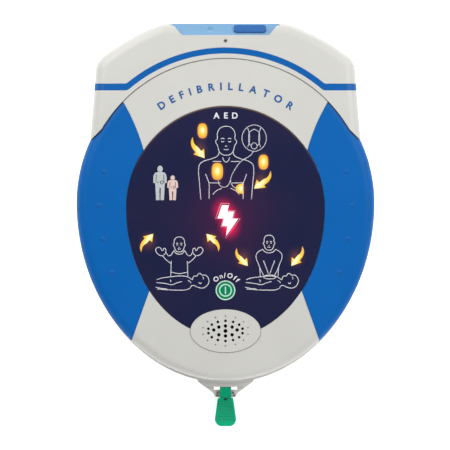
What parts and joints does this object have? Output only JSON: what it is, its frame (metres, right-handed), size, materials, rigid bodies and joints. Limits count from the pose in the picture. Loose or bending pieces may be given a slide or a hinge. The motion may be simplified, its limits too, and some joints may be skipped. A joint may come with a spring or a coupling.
{
  "type": "defibrillator",
  "caption": "Portable automated defibrillator: egg-shaped housing with side grips, symbol panel, speaker, sliding battery and electrode cartridge and pull tab.",
  "frame": {"origin": "centre of the flat back face, behind the housing's widest line", "axes": "+Z out of the front panel, +Y towards the data port and shoulders, +X to the right as seen from the front"},
  "size_m": [0.184, 0.249, 0.048],
  "materials": {
    "housing_grey": "satin",
    "chassis_grey": "satin",
    "cartridge_grey": "satin",
    "grip_blue": "satin",
    "overlay_navy": "satin",
    "clear_diffuser": "satin",
    "steel_parts": "satin",
    "black_paper_cone": "matte",
    "dark_ferrite": "matte",
    "seal_rubber": "matte",
    "gold_contacts": "polished",
    "nickel_strip": "satin",
    "tongue_blue": "satin",
    "plug_blue": "satin",
    "black_plastic": "matte",
    "board_green": "satin",
    "lamp_amber": "gloss",
    "capacitor_case": "satin",
    "copper_winding": "satin",
    "aluminium_parts": "satin",
    "button_green": "satin",
    "bezel_mint": "satin",
    "stripe_blue": "satin",
    "lid_film": "satin",
    "cell_wrap": "gloss",
    "pad_foam": "matte",
    "liner_film": "gloss",
    "lead_jacket": "satin",
    "tab_green": "satin"
  },
  "bodies": {
    "device": {"rear_chassis": "chassis_grey", "front_housing": "housing_grey", "housing_seal": "seal_rubber", "housing_screws": "steel_parts", "grip_left": "grip_blue", "grip_right": "grip_blue", "display_overlay": "overlay_navy", "light_diffuser": "clear_diffuser", "button_bezel": "bezel_mint", "speaker_grille": "housing_grey", "speaker_basket": "steel_parts", "speaker_cone": "black_paper_cone", "speaker_magnet": "dark_ferrite", "port_tongue": "tongue_blue", "port_socket": "black_plastic", "status_light_pipe": "clear_diffuser", "main_board": "board_green", "indicator_lamps": "lamp_amber", "button_switch": "black_plastic", "storage_capacitor": "capacitor_case", "transformer_core": "dark_ferrite", "transformer_winding": "copper_winding", "discharge_relay": "black_plastic", "heat_sink": "aluminium_parts", "power_switches": "black_plastic", "contact_pins": "gold_contacts"},
    "on_off_button": {"on_off_button": "button_green"},
    "data_port_plug": {"data_port_plug": "plug_blue"},
    "cartridge": {"cartridge_shell": "cartridge_grey", "cartridge_tray": "cartridge_grey", "stripe_band": "stripe_blue", "latch_pins": "steel_parts", "tray_lid_film": "lid_film", "battery_cells": "cell_wrap", "cell_links": "nickel_strip", "contact_block": "black_plastic", "contact_plates": "gold_contacts", "electrode_pad_lower": "pad_foam", "electrode_pad_upper": "pad_foam", "pad_liner": "liner_film", "electrode_leads": "lead_jacket"},
    "latch_left": {"latch_left": "cartridge_grey"},
    "latch_right": {"latch_right": "cartridge_grey"},
    "pull_tab": {"pull_tab": "tab_green", "pull_strap": "tab_green"}
  },
  "joints": [
    {"name": "cartridge_slide", "type": "slide", "parent": "device", "child": "cartridge", "axis": [0, 1, 0], "range_m": [0, 0.2]},
    {"name": "latch_left_rock", "type": "hinge", "parent": "cartridge", "child": "latch_left", "pos_m": [-0.077, 0.057, 0.026], "axis": [0, 0, 1], "range_deg": [-6, 0], "stiffness_Nm_per_rad": 0.2, "springref_deg": 2.86},
    {"name": "latch_right_rock", "type": "hinge", "parent": "cartridge", "child": "latch_right", "pos_m": [0.077, 0.057, 0.026], "axis": [0, 0, 1], "range_deg": [0, 6], "stiffness_Nm_per_rad": 0.2, "springref_deg": -2.86},
    {"name": "pull_tab_slide", "type": "slide", "parent": "cartridge", "child": "pull_tab", "axis": [0, -1, 0], "range_m": [0, 0.05]},
    {"name": "on_off_press", "type": "slide", "parent": "device", "child": "on_off_button", "axis": [0, 0, -1], "range_m": [0, 0.0007], "stiffness_N_per_m": 1500, "springref_m": -0.0005},
    {"name": "port_plug_pull", "type": "slide", "parent": "device", "child": "data_port_plug", "axis": [0, 0.766, 0.6428], "range_m": [0, 0.012]}
  ]
}
